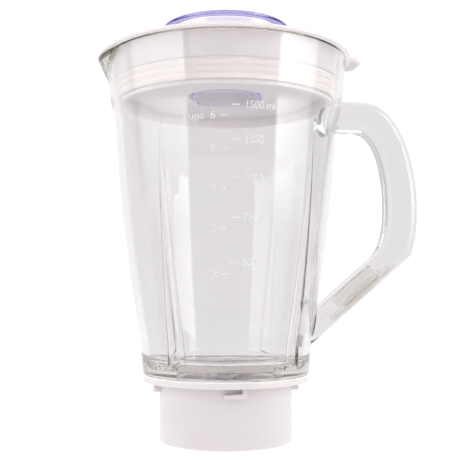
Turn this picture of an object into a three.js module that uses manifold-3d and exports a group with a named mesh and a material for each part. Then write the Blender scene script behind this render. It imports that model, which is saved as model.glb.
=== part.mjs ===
// Glass jar assembly of a countertop blender: handled glass jar, lid with filler cap, and the
// collar that carries the blades. Millimetres, +Z up, handle towards +X, spout towards -X.
import * as THREE from 'three'
import { mergeVertices } from 'three/addons/utils/BufferGeometryUtils.js'
import Module from 'manifold-3d'

const wasm = await Module()
wasm.setup()

// ---- driving dimensions ------------------------------------------------------------------
const FIT = 0.3 // running and assembly gap between neighbouring pieces
const ROUND = 32 // facets around a small turned piece
const WIDE_ROUND = 48 // facets around the lid, its cap and the collar
const JAR_ROUND = 72 // facets around the jar
const JAR_STEP = 360 / JAR_ROUND // degrees per facet of the jar

const handleReach = 125.1 // jar axis to the outside of the handle
const spoutReach = 82.5 // jar axis to the tip of the spout

const collarR = 41.2
const collarWall = 2.8
const collarBoreR = collarR - collarWall
const flangeR = 51.3
const flangeZ = 36.3
const collarTop = 40
const shelfZ = 18
const shelfThick = 3
const shelfBoreR = 27

const glassBottom = collarTop + FIT
const glassWall = 4.3
const floorZ = 49 // inside floor of the jar
const cornerTop = 44.5 // where the rounded bottom corner meets the side
const footR = 52.2 // jar radius just above its bottom corner
const waistZ = 62
const waistR = 53.7
const shoulderZ = 200
const shoulderR = 70.6
const shoulderBulge = 1.9 // how far the side bows out of a straight cone
const lipZ = 213
const lipR = 73.8
const rimZ = 238.5
const rimR = 77

const neckR = 36.2
const neckBoreR = 30.8
const neckLugR = neckR + 1.7
const neckLugZ = 30.5
const neckLugThick = 3
const ledgeR = neckR + 0.6
const bayonetCount = 4
const bayonetHalf = 11 // half the angle of a neck lug or of a collar ledge

const driveLugCount = 4
const driveLugR = 45.8
const driveLugZ = 30.4
const driveLugThick = 2.8
const driveLugHalf = 8.5

const fluteDepth = 2.2
const fluteTop = 189
const fluteAngle = 40 // each flute's angle from the front or the back of the jar

const handleWidth = 20
const handleLegSlope = THREE.MathUtils.degToRad(41)

const carrierR = collarBoreR - 0.5
const carrierZ = shelfZ + shelfThick + FIT
const carrierThick = 3
const hubTop = 34
const hubBottom = 12
const gasketZ = carrierZ + carrierThick + FIT
const gasketThick = 2.6
const neckBottom = gasketZ + gasketThick + FIT

const shaftR = 4
const bushR = 6.8
const bushLength = 6
const studR = 3.2 // threaded and keyed ends of the shaft
const shaftShoulderR = 6.4
const grooveR = 3.1 // shaft radius under the retaining clip
const thrustWasherR = 7.4
const lockWasherR = 5.6
const insertR = 6 // steel insert of the drive coupling
const bladeReach = 26
const bladeThick = 1.4

const skirtBottom = 209
const sealBottom = 211.6
const sealTop = 223.4
const brimR = 80
const brimZ = rimZ + FIT
const lidTop = 246.2
const lidPlate = 2.6
const innerPlateZ = 215.2 // underside of the plate that closes the plug
const innerPlateThick = 1.6
const lidSleeveZ = 237 // lower end of the lid's own sleeve, which the plate's guide tube meets
const bossR = 36
const bossTop = 251
const capHoleR = 25.2

const capR = 40.7
const capTop = 260.3
const capBand = 2.4
const capWall = 2
const cupR = 23.7
const cupBottom = 214.4
const cupTaper = 1.1 // how much narrower the cup is at its mouth

// ---- helpers -----------------------------------------------------------------------------
function material(color, roughness, metalness = 0, opacity = 1) {
  return new THREE.MeshStandardMaterial({
    color, roughness, metalness, opacity, transparent: opacity < 1,
  })
}

const glass = () => material(0xe6eeea, 0.05, 0, 0.35)
const whitePlastic = () => material(0xf2efee, 0.45)
const tintedPlastic = () => material(0x8f86dc, 0.1, 0, 0.45)
const steel = () => material(0xc4c6c8, 0.3, 1)
const bronze = () => material(0xb08d57, 0.5, 1)
const rubber = (color) => material(color, 0.8)

// Turns a profile of [radius, height] corners about the Z axis.
function turn(profile, segments = ROUND) {
  const points = profile.map(([r, z]) => new THREE.Vector2(r, z))
  return new THREE.LatheGeometry(points, segments).rotateX(Math.PI / 2)
}

// Turns a closed outline that doesn't touch the axis.
function turnRing(profile, segments = ROUND) {
  return turn([...profile, profile[0]], segments)
}

// A plain washer or sleeve.
function sleeve(innerR, outerR, z0, z1, segments = ROUND) {
  return turnRing([[innerR, z0], [outerR, z0], [outerR, z1], [innerR, z1]], segments)
}

// A flat-topped piece of ring between two angles, in degrees from +X.
function ringSector(innerR, outerR, z0, z1, from, to) {
  const a = THREE.MathUtils.degToRad(from)
  const b = THREE.MathUtils.degToRad(to)
  const shape = new THREE.Shape()
  shape.absarc(0, 0, outerR, a, b, false)
  shape.absarc(0, 0, innerR, b, a, true)
  const options = { depth: z1 - z0, bevelEnabled: false, curveSegments: 4 }
  return new THREE.ExtrudeGeometry(shape, options).translate(0, 0, z0)
}

function solid(geometry) {
  const bare = geometry.index ? geometry.toNonIndexed() : geometry.clone()
  bare.deleteAttribute('normal')
  bare.deleteAttribute('uv')
  const merged = mergeVertices(bare, 1e-4)
  const mesh = new wasm.Mesh({
    numProp: 3,
    vertProperties: new Float32Array(merged.attributes.position.array),
    triVerts: new Uint32Array(merged.index.array),
  })
  return new wasm.Manifold(mesh)
}

function geometryOf(manifold) {
  const mesh = manifold.getMesh()
  const geometry = new THREE.BufferGeometry()
  geometry.setAttribute('position', new THREE.BufferAttribute(mesh.vertProperties, 3))
  geometry.setIndex(new THREE.BufferAttribute(mesh.triVerts, 1))
  return geometry
}

function joined(first, ...others) {
  return geometryOf(others.reduce((sum, other) => sum.add(solid(other)), solid(first)))
}

function cut(first, ...others) {
  return geometryOf(others.reduce((rest, other) => rest.subtract(solid(other)), solid(first)))
}

const assembly = new THREE.Group()

function place(name, geometry, finish) {
  const mesh = new THREE.Mesh(geometry, finish)
  mesh.name = name
  assembly.add(mesh)
}

// ---- the jar's own surface ---------------------------------------------------------------
// Outside radius of the jar at a height, above its bottom corner.
function jarRadius(z) {
  if (z <= waistZ) {
    const t = Math.max(0, (z - cornerTop) / (waistZ - cornerTop))
    return footR + (waistR - footR) * t
  }
  if (z <= shoulderZ) {
    const t = (z - waistZ) / (shoulderZ - waistZ)
    return waistR + (shoulderR - waistR) * t + shoulderBulge * 4 * t * (1 - t)
  }
  if (z <= lipZ) return shoulderR + (lipR - shoulderR) * (z - shoulderZ) / (lipZ - shoulderZ)
  return lipR + (rimR - lipR) * (z - lipZ) / (rimZ - lipZ)
}

// Pulls the rim out to the spout's tip, most at the front of -X and less down the wall.
function pullSpout(geometry, rootZ, minR) {
  const position = geometry.attributes.position
  const halfAngle = THREE.MathUtils.degToRad(13)
  for (let i = 0; i < position.count; i++) {
    const [x, y, z] = [position.getX(i), position.getY(i), position.getZ(i)]
    const r = Math.hypot(x, y)
    if (z <= rootZ || r < minR) continue
    const angle = Math.atan2(y, -x)
    const rise = Math.min(1, (z - rootZ) / (rimZ - rootZ))
    const pull = (spoutReach - rimR) * rise * Math.exp(-((angle / halfAngle) ** 2))
    position.setXY(i, x * (r + pull) / r, y * (r + pull) / r)
  }
  return geometry
}

// Presses four narrowing flutes into the wall, which stand as ribs inside the jar.
function pressFlutes(geometry) {
  const position = geometry.attributes.position
  for (let i = 0; i < position.count; i++) {
    const [x, y, z] = [position.getX(i), position.getY(i), position.getZ(i)]
    const r = Math.hypot(x, y)
    if (z < floorZ + 6 || z > fluteTop || r < neckR + 2) continue
    const fromFrontOrBack = THREE.MathUtils.radToDeg(Math.atan2(Math.abs(x), Math.abs(y)))
    if (Math.abs(fromFrontOrBack - fluteAngle) > JAR_STEP / 2) continue
    const depth = fluteDepth * (fluteTop - z) / (fluteTop - floorZ)
    position.setXY(i, x * (r - depth) / r, y * (r - depth) / r)
  }
  return geometry
}

function jarBody() {
  const steps = 6
  const sideZ = Array.from({ length: steps + 1 }, (_, i) => {
    return waistZ + (shoulderZ - waistZ) * i / steps
  })
  const outsideZ = [cornerTop, 55, ...sideZ, lipZ, rimZ - 10, rimZ - 1.2]
  const insideZ = outsideZ.filter((z) => z > floorZ + 8).reverse()
  const profile = [
    [neckBoreR, neckBottom],
    [neckR, neckBottom],
    [neckR, glassBottom],
    [footR - 5, glassBottom],
    [footR - 1.4, glassBottom + 1.3],
    ...outsideZ.map((z) => [jarRadius(z), z]),
    [rimR - 1, rimZ],
    [rimR - glassWall + 1, rimZ],
    ...insideZ.map((z) => [jarRadius(z) - glassWall, z]),
    [footR - glassWall - 1.5, floorZ + 4],
    [footR - glassWall - 5.5, floorZ + 0.6],
    [neckBoreR + 4, floorZ - 0.8],
    [neckBoreR, floorZ - 4],
  ]
  return pullSpout(pressFlutes(turnRing(profile, JAR_ROUND)), rimZ - 13, neckR)
}

// The handle: a short straight top, a bowed grip and a sloping lower leg, in the XZ plane.
function handleOutline() {
  const gripZ = 146
  const gripWidth = 21
  const kneeZ = 116
  const legRun = (z) => (kneeZ - z) / Math.tan(handleLegSlope)
  const topZ = 215
  const topUnder = 193.5
  const legTop = 81
  const legFoot = 60.7
  const kneeX = handleReach - 3
  const shape = new THREE.Shape()
  shape.moveTo(jarRadius(topZ) - 2, topZ)
  shape.lineTo(jarRadius(topZ) + 16, topZ)
  shape.bezierCurveTo(112, topZ - 2, handleReach, 180, handleReach, gripZ)
  shape.quadraticCurveTo(handleReach, 128, kneeX, kneeZ)
  shape.lineTo(kneeX - legRun(legFoot), legFoot)
  shape.lineTo(jarRadius(legFoot) - 2, legFoot)
  shape.lineTo(jarRadius(legTop) - 2, legTop)
  shape.lineTo(jarRadius(legTop) + 0.6, legTop)
  const innerKneeX = jarRadius(legTop) + 0.6 + (kneeZ - legTop) / Math.tan(handleLegSlope)
  shape.lineTo(innerKneeX - 2, kneeZ - 1.7)
  shape.quadraticCurveTo(handleReach - gripWidth, 124, handleReach - gripWidth, gripZ)
  shape.bezierCurveTo(handleReach - gripWidth, 172, 99, topUnder, 84, topUnder)
  shape.lineTo(jarRadius(topUnder) - 2, topUnder)
  return shape
}

function handle() {
  const round = 4.5
  const options = {
    depth: handleWidth - 2 * round,
    curveSegments: 7,
    bevelEnabled: true,
    bevelSize: round,
    bevelOffset: -round,
    bevelThickness: round,
    bevelSegments: 2,
  }
  const bar = new THREE.ExtrudeGeometry(handleOutline(), options)
  return bar.rotateX(Math.PI / 2).translate(0, (handleWidth - 2 * round) / 2, 0)
}

// A shallow finger recess on each side of the handle's lower leg.
function legRecesses() {
  const length = 46
  const width = 7
  const depth = 2.6
  return [-1, 1].map((side) => {
    const slot = new THREE.CapsuleGeometry(width / 2, length, 3, 10)
    slot.rotateZ(Math.PI / 2).rotateX(Math.PI / 2)
    slot.rotateY(-handleLegSlope)
    return slot.translate(84, side * (handleWidth / 2 + width / 2 - depth), 91.5)
  })
}

function neckLugs() {
  return Array.from({ length: bayonetCount }, (_, i) => {
    const angle = i * 360 / bayonetCount
    const [z0, z1] = [neckLugZ, neckLugZ + neckLugThick]
    return ringSector(neckR - 1, neckLugR, z0, z1, angle - bayonetHalf, angle + bayonetHalf)
  })
}

// ---- collar and blade bearing ------------------------------------------------------------
// A lug that hooks under the motor base: a plate with a stop wall up to the flange.
function driveLug(angle) {
  const inside = collarR - 1
  const [from, to] = [angle - driveLugHalf, angle + driveLugHalf]
  const plateTop = driveLugZ + driveLugThick
  const plate = ringSector(inside, driveLugR, driveLugZ, plateTop, from, to)
  const wall = ringSector(inside, driveLugR, plateTop - 0.5, flangeZ + 1, to - 4, to)
  return [plate, wall]
}

function baseCollar() {
  const shelfTop = shelfZ + shelfThick
  const body = turnRing([
    [collarBoreR, 0],
    [collarR - 0.6, 0],
    [collarR, 0.6],
    [collarR, flangeZ],
    [flangeR - 0.7, flangeZ],
    [flangeR, flangeZ + 0.8],
    [flangeR, collarTop - 1],
    [flangeR - 1, collarTop],
    [collarBoreR, collarTop],
    [collarBoreR, shelfTop],
    [shelfBoreR, shelfTop],
    [shelfBoreR, shelfZ],
    [collarBoreR, shelfZ],
  ], WIDE_ROUND)
  const ledgeBottom = neckLugZ + neckLugThick + FIT
  const ledges = Array.from({ length: bayonetCount }, (_, i) => {
    const angle = i * 360 / bayonetCount
    const [from, to] = [angle - bayonetHalf, angle + bayonetHalf]
    return ringSector(ledgeR, collarBoreR + 1, ledgeBottom, ledgeBottom + 3, from, to)
  })
  const lugs = Array.from({ length: driveLugCount }, (_, i) => driveLug(i * 360 / driveLugCount))
  return joined(body, ...ledges, ...lugs.flat())
}

const pocketR = bushR + FIT
const lowerBushZ = hubBottom + 0.6
const upperBushZ = 24.4
const sealPocketZ = upperBushZ + bushLength + 0.6
const sealR = 8.2

function bladeCarrier() {
  const top = carrierZ + carrierThick
  return turnRing([
    [pocketR, hubBottom],
    [10.2, hubBottom],
    [10.8, carrierZ],
    [carrierR, carrierZ],
    [carrierR, top],
    [neckBoreR - 2, top],
    [14, top + 1.6],
    [11.2, hubTop - 1],
    [10.4, hubTop],
    [sealR + FIT, hubTop],
    [sealR + FIT, sealPocketZ],
    [pocketR, sealPocketZ],
    [pocketR, upperBushZ - FIT],
    [shaftR + 0.9, upperBushZ - FIT],
    [shaftR + 0.9, lowerBushZ + bushLength + FIT],
    [pocketR, lowerBushZ + bushLength + FIT],
  ])
}

// ---- rotor: everything that turns with the shaft -----------------------------------------
const washerThick = 0.8
const upperWasherZ = hubTop + FIT
const shoulderBottom = upperWasherZ + washerThick + FIT
const shoulderTop = shoulderBottom + 1.4
const lowerBladeZ = shoulderTop + FIT
const spacerZ = lowerBladeZ + bladeThick + FIT
const spacerThick = 1.2
const upperBladeZ = spacerZ + spacerThick + FIT
const lockWasherZ = upperBladeZ + bladeThick + FIT
const nutZ = lockWasherZ + washerThick + FIT
const nutHeight = 5.4
const shaftTop = nutZ + 3.4
const lowerWasherZ = hubBottom - FIT - washerThick
const clipZ = lowerWasherZ - FIT - washerThick
const couplingTop = clipZ - FIT
const couplingBottom = 1.8

function bladeShaft() {
  return turn([
    [0, couplingBottom + 0.4],
    [studR, couplingBottom + 0.4],
    [studR, couplingTop + 0.1],
    [grooveR, couplingTop + 0.1],
    [grooveR, lowerWasherZ - 0.1],
    [shaftR, lowerWasherZ - 0.1],
    [shaftR, shoulderBottom],
    [shaftShoulderR, shoulderBottom],
    [shaftShoulderR, shoulderTop],
    [studR, shoulderTop],
    [studR, shaftTop],
    [0, shaftTop],
  ])
}

// One blade: a strip bent by `lift` towards its tips, cut to the outline of its two arms.
function blade(z, lift, sweep) {
  const hubHalf = 8
  const [tip, width] = [bladeReach, 12]
  const side = new THREE.Shape()
  side.moveTo(-tip, lift)
  side.lineTo(-hubHalf, 0)
  side.lineTo(hubHalf, 0)
  side.lineTo(tip, lift)
  side.lineTo(tip, lift + bladeThick)
  side.lineTo(hubHalf, bladeThick)
  side.lineTo(-hubHalf, bladeThick)
  side.lineTo(-tip, lift + bladeThick)
  const strip = new THREE.ExtrudeGeometry(side, { depth: width, bevelEnabled: false })
  strip.rotateX(Math.PI / 2).translate(0, width / 2, 0)

  const outline = new THREE.Shape()
  outline.moveTo(-hubHalf, -width / 2)
  outline.lineTo(hubHalf, -width / 2)
  outline.lineTo(tip + 1, -2.4)
  outline.lineTo(tip - 3, 3.2)
  outline.lineTo(hubHalf, width / 2)
  outline.lineTo(-hubHalf, width / 2)
  outline.lineTo(-tip - 1, 2.4)
  outline.lineTo(3 - tip, -3.2)
  const bore = new THREE.Path()
  bore.absarc(0, 0, studR + FIT, 0, Math.PI * 2, true)
  outline.holes.push(bore)
  const options = { depth: 30, bevelEnabled: false, curveSegments: 16 }
  const arms = new THREE.ExtrudeGeometry(outline, options).translate(0, 0, -15)
  const shaped = geometryOf(solid(strip).intersect(solid(arms)))
  return shaped.rotateZ(sweep).translate(0, 0, z)
}

function bladeNut() {
  const hex = new THREE.CylinderGeometry(6, 6, 3, 6).rotateX(Math.PI / 2)
  hex.translate(0, 0, nutZ + 1.5)
  const domeR = 4.7
  const dome = turn([
    [0, nutZ + 1], [domeR, nutZ + 1], [domeR, nutZ + 3.2], [domeR * 0.8, nutZ + 4.6],
    [domeR * 0.4, nutZ + nutHeight], [0, nutZ + nutHeight],
  ], 24)
  const thread = turn([
    [0, nutZ - 1], [studR + FIT, nutZ - 1], [studR + FIT, shaftTop + FIT], [0, shaftTop + FIT],
  ], 24)
  return cut(joined(hex, dome), thread)
}

function driveCoupling() {
  const teeth = 6
  const [rootR, tipR] = [9.5, 13]
  const outline = new THREE.Shape()
  for (let i = 0; i < teeth; i++) {
    const start = i * 2 * Math.PI / teeth
    const half = Math.PI / teeth
    if (i === 0) outline.moveTo(tipR, 0)
    outline.absarc(0, 0, tipR, start, start + half * 0.9, false)
    outline.absarc(0, 0, rootR, start + half * 1.1, start + half * 1.9, false)
  }
  const bore = new THREE.Path()
  const quarter = Math.PI / 2
  for (let i = 0; i < 4; i++) {
    bore.absarc(0, 0, insertR + FIT, -i * quarter, -(i + 1) * quarter, true)
  }
  outline.holes.push(bore)
  const options = { depth: couplingTop - couplingBottom, bevelEnabled: false, curveSegments: 4 }
  return new THREE.ExtrudeGeometry(outline, options).translate(0, 0, couplingBottom)
}

// ---- lid, seal and filler cap ------------------------------------------------------------
const sealSeatR = jarRadius(sealBottom) - glassWall - 3.3
const skirtInR = sealSeatR - 2.4

function lidBody() {
  const upperSkirtR = jarRadius(sealTop) - glassWall - 0.7
  const lipLowR = sealSeatR + 0.9
  const body = turnRing([
    [capHoleR, lidSleeveZ],
    [capHoleR + 2, lidSleeveZ],
    [capHoleR + 2, lidTop - lidPlate],
    [skirtInR - 6, lidTop - lidPlate - 1.6],
    [skirtInR, lidTop - lidPlate - 5],
    [skirtInR, skirtBottom],
    [lipLowR, skirtBottom],
    [lipLowR, sealBottom - FIT],
    [sealSeatR, sealBottom - FIT],
    [sealSeatR, sealTop + FIT],
    [upperSkirtR, sealTop + FIT],
    [upperSkirtR + 1.2, brimZ],
    [brimR - 0.6, brimZ],
    [brimR, brimZ + 0.4],
    [brimR - 0.2, brimZ + 0.9],
    [brimR - 2, brimZ + 1.9],
    [brimR - 8, brimZ + 3.4],
    [62, lidTop - 2],
    [bossR + 4, lidTop],
    [bossR, lidTop],
    [bossR, bossTop],
    [capHoleR, bossTop],
  ], WIDE_ROUND)
  return joined(pullSpout(body, brimZ - 0.5, rimR), lidTab())
}

// The thumb tab over the handle.
function lidTab() {
  const [tabReach, tabHalf, corner] = [87.8, 13, 6]
  const shape = new THREE.Shape()
  shape.moveTo(brimR - 6, -tabHalf)
  shape.lineTo(tabReach - corner, -tabHalf)
  shape.quadraticCurveTo(tabReach, -tabHalf, tabReach, corner - tabHalf)
  shape.lineTo(tabReach, tabHalf - corner)
  shape.quadraticCurveTo(tabReach, tabHalf, tabReach - corner, tabHalf)
  shape.lineTo(brimR - 6, tabHalf)
  const options = {
    depth: 1, bevelEnabled: true, bevelSize: 1, bevelOffset: -1, bevelThickness: 1,
    bevelSegments: 2, curveSegments: 4,
  }
  return new THREE.ExtrudeGeometry(shape, options).translate(0, 0, brimZ + 2.6)
}

function lidSeal() {
  const ribs = 2
  const pitch = (sealTop - sealBottom) / ribs
  const wallAt = (z) => jarRadius(z) - glassWall
  const crests = Array.from({ length: ribs }, (_, i) => sealBottom + pitch * (i + 0.5))
  const outside = crests.flatMap((z) => [
    [wallAt(z - pitch * 0.4) - 1.6, z - pitch * 0.4],
    [wallAt(z) - 0.45, z],
    [wallAt(z + pitch * 0.4) - 1.6, z + pitch * 0.4],
  ])
  return turnRing([
    [sealSeatR + FIT, sealBottom],
    [sealSeatR + 1.4, sealBottom],
    ...outside,
    [sealSeatR + 1.4, sealTop],
    [sealSeatR + FIT, sealTop],
  ], WIDE_ROUND)
}

// The plate that closes the plug from below, with the tube that guides the cap's cup.
function innerPlate() {
  const [guideInR, guideOutR, guideTop] = [cupR + 0.8, cupR + 2.4, lidSleeveZ - FIT]
  const plateTop = innerPlateZ + innerPlateThick
  return turnRing([
    [guideInR, innerPlateZ],
    [skirtInR - FIT, innerPlateZ],
    [skirtInR - FIT, plateTop],
    [guideOutR, plateTop],
    [guideOutR, guideTop],
    [guideInR, guideTop],
  ], WIDE_ROUND)
}

// The filler cap: a banded top over a short skirt, and a measuring cup open at the bottom.
function fillerCap() {
  const bandZ = capTop - capBand
  const skirtR = bossR + FIT + capWall + 0.4
  const skirtZ = lidTop + 0.7
  return turn([
    [0, capTop - 3.4],
    [cupR - capWall, capTop - 4.4],
    [cupR - capWall - cupTaper, cupBottom],
    [cupR - cupTaper, cupBottom],
    [cupR, bandZ],
    [skirtR - capWall, bandZ],
    [skirtR - capWall, skirtZ],
    [skirtR, skirtZ],
    [skirtR, bandZ],
    [capR - 0.7, bandZ],
    [capR, bandZ + 0.8],
    [capR, capTop - 0.8],
    [capR - 0.8, capTop],
    [capR - 5, capTop],
    [capR - 7, capTop - 1.2],
    [0, capTop - 1.2],
  ], WIDE_ROUND)
}

// ---- assembly ----------------------------------------------------------------------------
place('base_collar', baseCollar(), whitePlastic())
place('blade_carrier', bladeCarrier(), whitePlastic())
place('jar_gasket',
  sleeve(neckBoreR - 0.4, neckR + 0.6, gasketZ, gasketZ + gasketThick),
  rubber(0xd9d6d2))
place('lower_bush', sleeve(shaftR + FIT, bushR, lowerBushZ, lowerBushZ + bushLength), bronze())
place('upper_bush', sleeve(shaftR + FIT, bushR, upperBushZ, upperBushZ + bushLength), bronze())
place('shaft_seal', sleeve(shaftR + FIT, sealR, sealPocketZ + FIT, hubTop - FIT), rubber(0x2b2b2d))

place('blade_shaft', bladeShaft(), steel())
place('upper_thrust_washer',
  sleeve(shaftR + FIT, thrustWasherR, upperWasherZ, upperWasherZ + washerThick), bronze())
place('lower_thrust_washer',
  sleeve(shaftR + FIT, thrustWasherR, lowerWasherZ, lowerWasherZ + washerThick), bronze())
place('lower_blade', blade(lowerBladeZ, -7, Math.PI / 4), steel())
place('blade_spacer', sleeve(studR + FIT, shaftShoulderR, spacerZ, spacerZ + spacerThick), steel())
place('upper_blade', blade(upperBladeZ, 7.5, -Math.PI / 4), steel())
place('lock_washer',
  sleeve(studR + FIT, lockWasherR, lockWasherZ, lockWasherZ + washerThick), steel())
place('blade_nut', bladeNut(), steel())
place('retaining_clip',
  sleeve(grooveR + FIT, lockWasherR, clipZ, clipZ + washerThick), steel())
place('drive_coupling', driveCoupling(), rubber(0x26262a))
place('coupling_insert',
  sleeve(studR + FIT, insertR, couplingBottom, couplingTop), steel())

place('glass_jar', cut(joined(jarBody(), handle(), ...neckLugs()), ...legRecesses()), glass())
place('lid', lidBody(), whitePlastic())
place('lid_inner_plate', innerPlate(), whitePlastic())
place('lid_seal', lidSeal(), rubber(0xcfc4b8))
place('filler_cap', fillerCap(), tintedPlastic())

// The origin lies on the foot plane, midway between the spout's tip and the handle's back.
assembly.position.x = (spoutReach - handleReach) / 2

export default assembly
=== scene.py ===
"""Looks of a countertop blender's glass jar assembly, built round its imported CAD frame."""
import math

import bmesh
import bpy
from mathutils import Matrix, Vector

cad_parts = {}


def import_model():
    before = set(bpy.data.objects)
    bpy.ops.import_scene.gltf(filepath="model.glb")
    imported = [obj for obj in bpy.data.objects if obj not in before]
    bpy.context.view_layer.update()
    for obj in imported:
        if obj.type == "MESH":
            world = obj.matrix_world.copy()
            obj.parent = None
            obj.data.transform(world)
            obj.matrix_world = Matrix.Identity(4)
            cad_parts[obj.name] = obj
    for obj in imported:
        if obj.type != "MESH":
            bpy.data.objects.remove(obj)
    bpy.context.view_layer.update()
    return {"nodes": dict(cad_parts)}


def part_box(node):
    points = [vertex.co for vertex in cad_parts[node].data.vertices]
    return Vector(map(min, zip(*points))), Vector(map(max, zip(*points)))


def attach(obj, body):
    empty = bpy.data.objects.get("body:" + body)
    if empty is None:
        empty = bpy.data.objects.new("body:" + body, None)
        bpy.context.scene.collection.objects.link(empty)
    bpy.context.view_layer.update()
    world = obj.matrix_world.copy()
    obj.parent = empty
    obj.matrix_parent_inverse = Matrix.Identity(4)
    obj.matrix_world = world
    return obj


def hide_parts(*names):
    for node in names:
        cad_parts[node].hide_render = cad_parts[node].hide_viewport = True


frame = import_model()

MM = 0.001
# The colour of every glow: the even light of the floor and the backdrop, and the painted glow of
# the plastics and the rubber.
WHITE_GLOW = (1.0, 0.975, 0.99, 1)

# ---- sizes, in millimetres, some read from the frame ------------------------------------


def box_mm(node):
    low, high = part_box(node)
    return Vector(low) / MM, Vector(high) / MM


collar_low, collar_high = box_mm("base_collar")
jar_low, jar_high = box_mm("glass_jar")
lid_low, lid_high = box_mm("lid")
cap_low, cap_high = box_mm("filler_cap")
seal_low, seal_high = box_mm("lid_seal")

AXIS_X = (collar_low.x + collar_high.x) / 2
FLANGE_R = (collar_high.x - collar_low.x) / 2
COLLAR_TOP = collar_high.z
COLLAR_R = 41.2
COLLAR_BORE_R = 38.4
FLANGE_Z = 36.3

SPOUT_REACH = AXIS_X - jar_low.x
HANDLE_REACH = jar_high.x - AXIS_X
NECK_BOTTOM = jar_low.z
RIM_Z = jar_high.z
RIM_R = 77
GLASS_BOTTOM = COLLAR_TOP + 0.3
GLASS_WALL = 4.3
FLOOR_Z = 49
FOOT_R = 52.2
WAIST_Z, WAIST_R = 62, 53.7
SHOULDER_Z, SHOULDER_R, SHOULDER_BULGE = 200, 70.6, 1.9
LIP_Z, LIP_R = 213, 73.8
NECK_R, NECK_BORE_R = 36.2, 30.8
BAYONET_HALF = 11  # half the angle of a neck lug or a collar ledge, in degrees
DRIVE_LUG_R, DRIVE_LUG_HALF = 45.8, 8.5

FLUTE_ANGLE = 40
FLUTE_TOP = 190
FLUTE_BOTTOM = 49.5
FLUTE_SLANT = 3.2
FLUTE_HALF = 6.9
FLUTE_DEPTH = 1.5
INNER_FLUTE_SHARE = 0.12

HOLE_R = 25.2  # the filler hole through the lid, and the tube below it
SLEEVE_R = HOLE_R + 0.4  # faces nearer the axis belong to the deep sleeve
BRIM_R = (lid_high.y - lid_low.y) / 2
BRIM_EDGE_R = BRIM_R - 1.5
BRIM_Z = RIM_Z + 0.3
TAB_REACH = lid_high.x - AXIS_X
LID_TOP = 246.2
SLEEVE_Z = 237  # lower end of the lid's own sleeve
TURRET_R, TURRET_Z = 36, 251  # the raised ring that the cap's skirt goes over

# ---- mesh helpers ------------------------------------------------------------------------


def new_object(name, bm, smooth_angle=35, recalc=True):
    """Turns a bmesh drawn in millimetres round the jar's axis into an object in metres."""
    bmesh.ops.remove_doubles(bm, verts=bm.verts, dist=1e-5)
    if recalc:
        bmesh.ops.recalc_face_normals(bm, faces=bm.faces)
    bmesh.ops.transform(bm, verts=bm.verts, matrix=Matrix.Diagonal((MM, MM, MM, 1)))
    bmesh.ops.translate(bm, verts=bm.verts, vec=(AXIS_X * MM, 0, 0))
    mesh = bpy.data.meshes.new(name)
    bm.to_mesh(mesh)
    bm.free()
    obj = bpy.data.objects.new(name, mesh)
    bpy.context.scene.collection.objects.link(obj)
    smooth(obj, smooth_angle)
    return obj


def smooth(obj, angle):
    obj.data.shade_smooth()
    obj.data.set_sharp_from_angle(angle=math.radians(angle))


def soften(corners, closed=True, steps=5):
    """Rounds each (r, z, fillet) corner of an outline with an arc of that fillet."""
    points = []
    count = len(corners)
    for i, corner in enumerate(corners):
        here = Vector(corner[:2])
        fillet = corner[2] if len(corner) > 2 else 0
        on_end = not closed and i in (0, count - 1)
        if not fillet or on_end:
            points.append(here)
            continue
        before = Vector(corners[i - 1][:2])
        after = Vector(corners[(i + 1) % count][:2])
        to_before, to_after = (before - here), (after - here)
        half = to_before.angle(to_after) / 2
        reach = fillet / math.tan(half)
        reach = min(reach, to_before.length * 0.49, to_after.length * 0.49)
        start = here + to_before.normalized() * reach
        end = here + to_after.normalized() * reach
        for k in range(steps + 1):
            t = k / steps
            points.append((1 - t) ** 2 * start + 2 * t * (1 - t) * here + t * t * end)
    return points


def turned(name, corners, segments=160, closed=True, shape=None, smooth_angle=35):
    """Turns an outline about the jar's axis. shape(angle, r, z) may bend each point."""
    outline = soften(corners, closed)
    bm = bmesh.new()
    rings = []
    for point in outline:
        r, z = point
        if r < 1e-6:
            rings.append([bm.verts.new((0, 0, z))] * segments)
            continue
        ring = []
        for k in range(segments):
            angle = 2 * math.pi * k / segments
            a, radius, height = shape(angle, r, z) if shape else (angle, r, z)
            ring.append(bm.verts.new((radius * math.cos(a), radius * math.sin(a), height)))
        rings.append(ring)
    pairs = list(zip(rings, rings[1:]))
    if closed:
        pairs.append((rings[-1], rings[0]))
    for low, high in pairs:
        for k in range(segments):
            n = (k + 1) % segments
            corners4 = []
            for v in (low[k], low[n], high[n], high[k]):
                if v not in corners4:
                    corners4.append(v)
            if len(corners4) > 2:
                bm.faces.new(corners4)
    return new_object(name, bm, smooth_angle)


def sector(bm, inner, outer, low, high, start, end, step=1.5):
    """Adds a closed piece of ring between two angles, in degrees from +X."""
    count = max(2, math.ceil((end - start) / step))
    columns = []
    for k in range(count + 1):
        t = k / count
        a = math.radians(start + (end - start) * t)
        top = high(t) if callable(high) else high
        columns.append([
            bm.verts.new((r * math.cos(a), r * math.sin(a), z))
            for r, z in ((inner, low), (outer, low), (outer, top), (inner, top))
        ])
    for left, right in zip(columns, columns[1:]):
        for k in range(4):
            n = (k + 1) % 4
            bm.faces.new((left[k], left[n], right[n], right[k]))
    bm.faces.new(columns[0])
    bm.faces.new(list(reversed(columns[-1])))


def apply_modifiers(obj):
    graph = bpy.context.evaluated_depsgraph_get()
    mesh = bpy.data.meshes.new_from_object(obj.evaluated_get(graph))
    old = obj.data
    obj.modifiers.clear()
    obj.data = mesh
    bpy.data.meshes.remove(old)


def boolean(obj, tool, operation):
    """Joins or cuts obj with tool, and removes tool."""
    modifier = obj.modifiers.new("boolean", "BOOLEAN")
    modifier.operation = operation
    modifier.solver = "EXACT"
    modifier.object = tool
    apply_modifiers(obj)
    mesh = tool.data
    bpy.data.objects.remove(tool)
    bpy.data.meshes.remove(mesh)


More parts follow.
